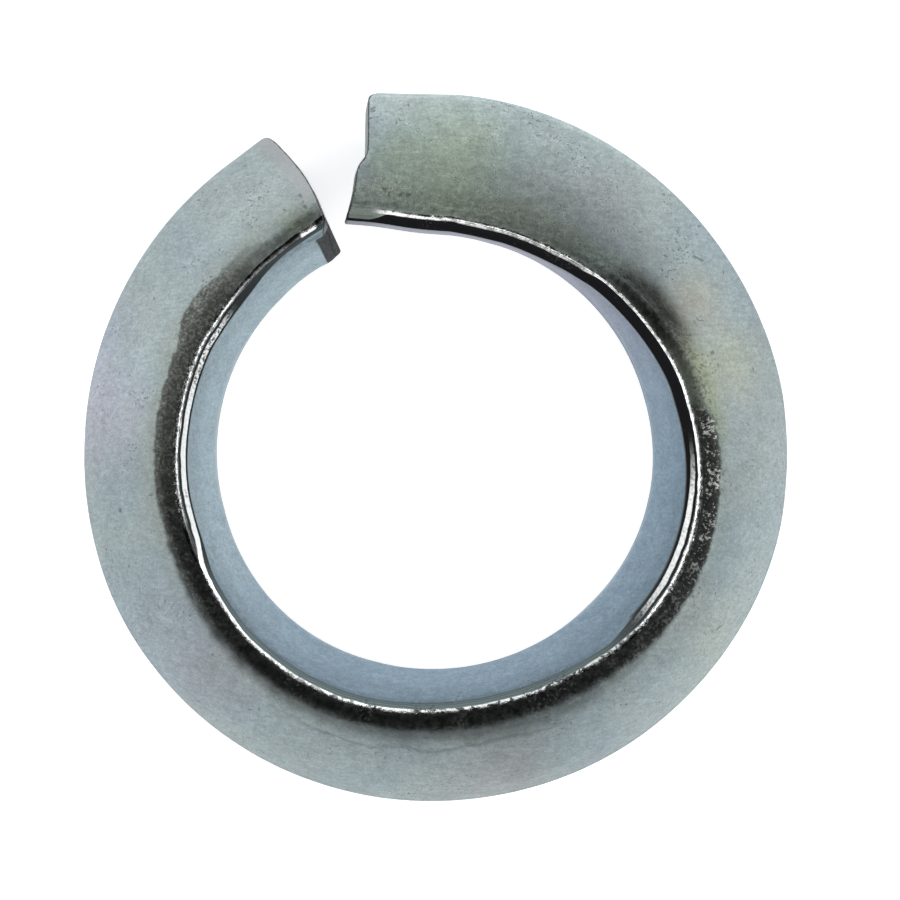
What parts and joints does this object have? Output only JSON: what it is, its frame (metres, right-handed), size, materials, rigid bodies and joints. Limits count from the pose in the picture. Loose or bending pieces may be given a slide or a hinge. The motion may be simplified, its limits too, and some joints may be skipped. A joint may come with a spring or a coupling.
{
  "type": "conical spring washer",
  "caption": "Split conical spring washer: a bar of spring steel coiled into a dished ring with a domed face, a rolled crest and sheared ends, slipped over a wheel stud.",
  "frame": {"origin": "on the bore's axis, in the plane of the flat under the heel", "axes": "+Z along the bore's axis, from the heel up to the crest; X and Y lie in the heel's plane, with the split at about 110 degrees from +X towards +Y"},
  "size_m": [0.0364, 0.0368, 0.0065],
  "materials": {
    "zinc_steel": "satin blue-passivated zinc plating, burnished along the crest"
  },
  "bodies": {
    "root": {"washer": "zinc_steel"}
  },
  "joints": []
}
